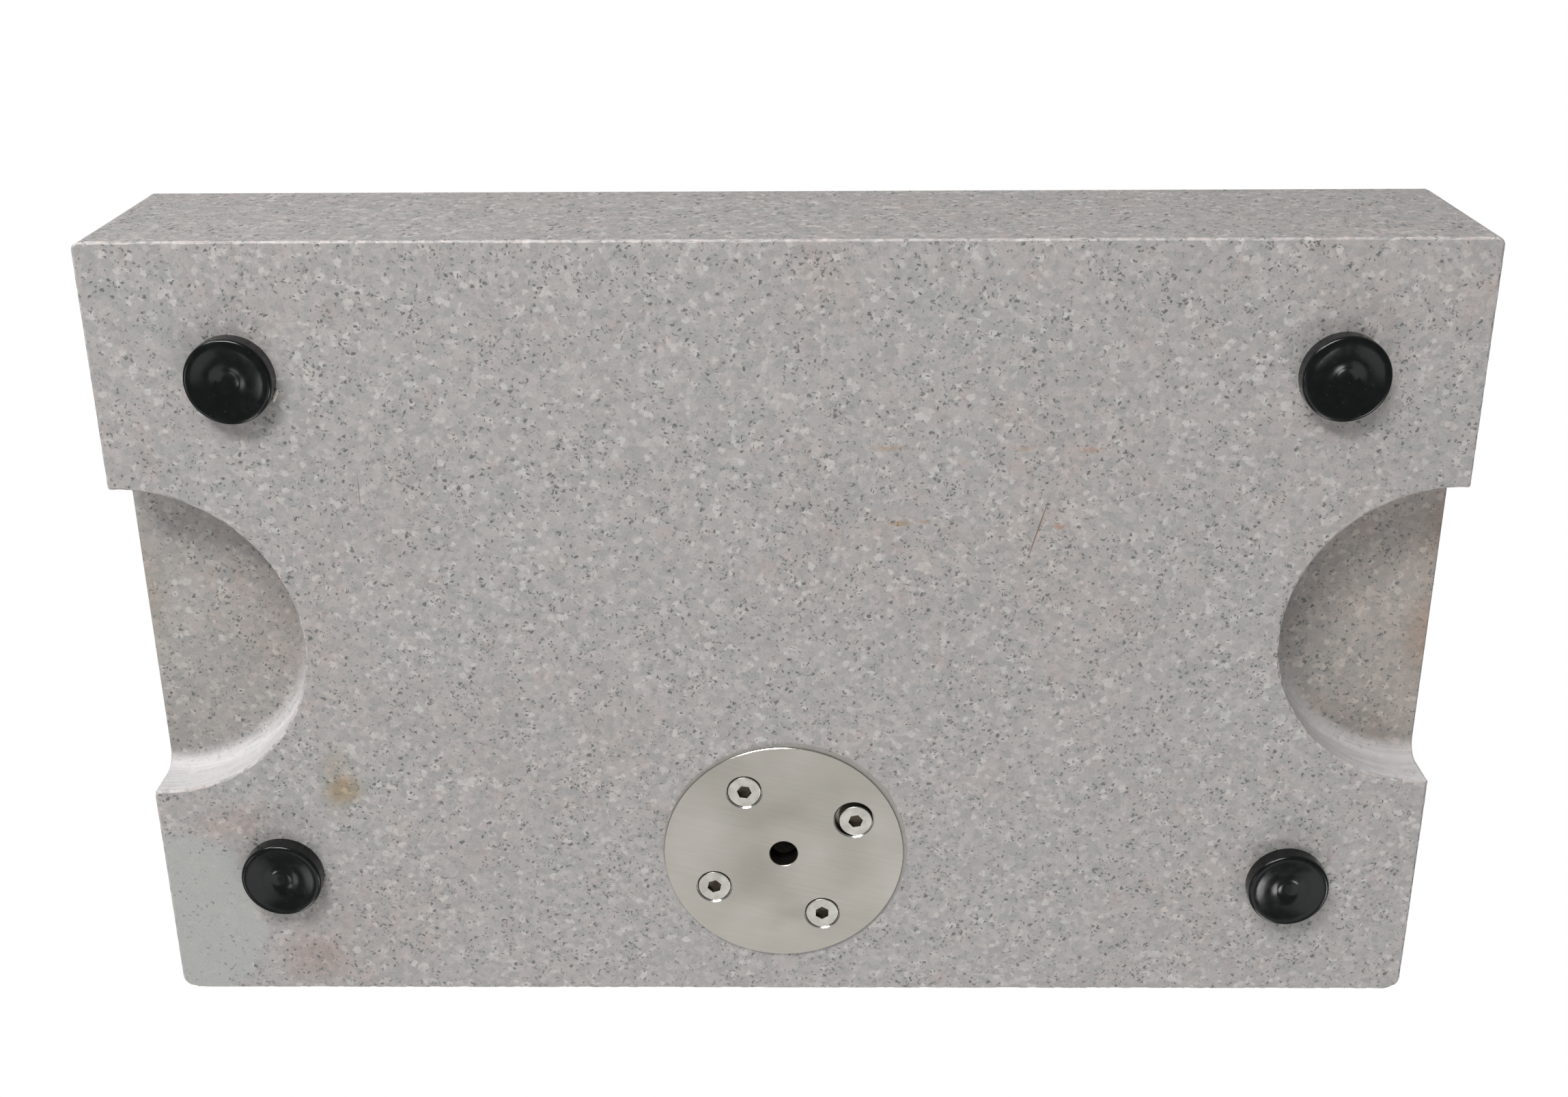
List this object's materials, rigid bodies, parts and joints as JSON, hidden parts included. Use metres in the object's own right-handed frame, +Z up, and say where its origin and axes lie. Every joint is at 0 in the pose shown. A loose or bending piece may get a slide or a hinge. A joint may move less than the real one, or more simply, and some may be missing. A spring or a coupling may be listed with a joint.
{
  "type": "granite slab",
  "caption": "Thick rectangular granite slab for leatherwork, with rubber feet, finger pockets in its ends and a screwed round steel plate and bolt hole near its rear edge.",
  "frame": {"origin": "centre of the surface that the feet stand on, under the middle of the slab", "axes": "+Z up through the working face, +X along the slab's length, +Y towards the edge that the plate is near"},
  "size_m": [0.3048, 0.1906, 0.0548],
  "materials": {
    "granite": "fine-grained pale pink-grey granite, honed",
    "plate_steel": "fine ground stainless steel",
    "screw_steel": "plain stainless steel",
    "brass": "turned",
    "resin": "cast epoxy resin",
    "rubber": "moulded, smooth",
    "adhesive": "acrylic adhesive disc"
  },
  "bodies": {
    "root": {"granite_slab": "granite", "clamp_plate": "plate_steel", "plate_screw_1": "screw_steel", "plate_screw_2": "screw_steel", "plate_screw_3": "screw_steel", "plate_screw_4": "screw_steel", "screw_insert_1": "brass", "screw_insert_2": "brass", "screw_insert_3": "brass", "screw_insert_4": "brass", "insert_resin_1": "resin", "insert_resin_2": "resin", "insert_resin_3": "resin", "insert_resin_4": "resin", "foot_front_left": "rubber", "foot_front_right": "rubber", "foot_rear_left": "rubber", "foot_rear_right": "rubber", "foot_pad_front_left": "adhesive", "foot_pad_front_right": "adhesive", "foot_pad_rear_left": "adhesive", "foot_pad_rear_right": "adhesive"}
  },
  "joints": []
}
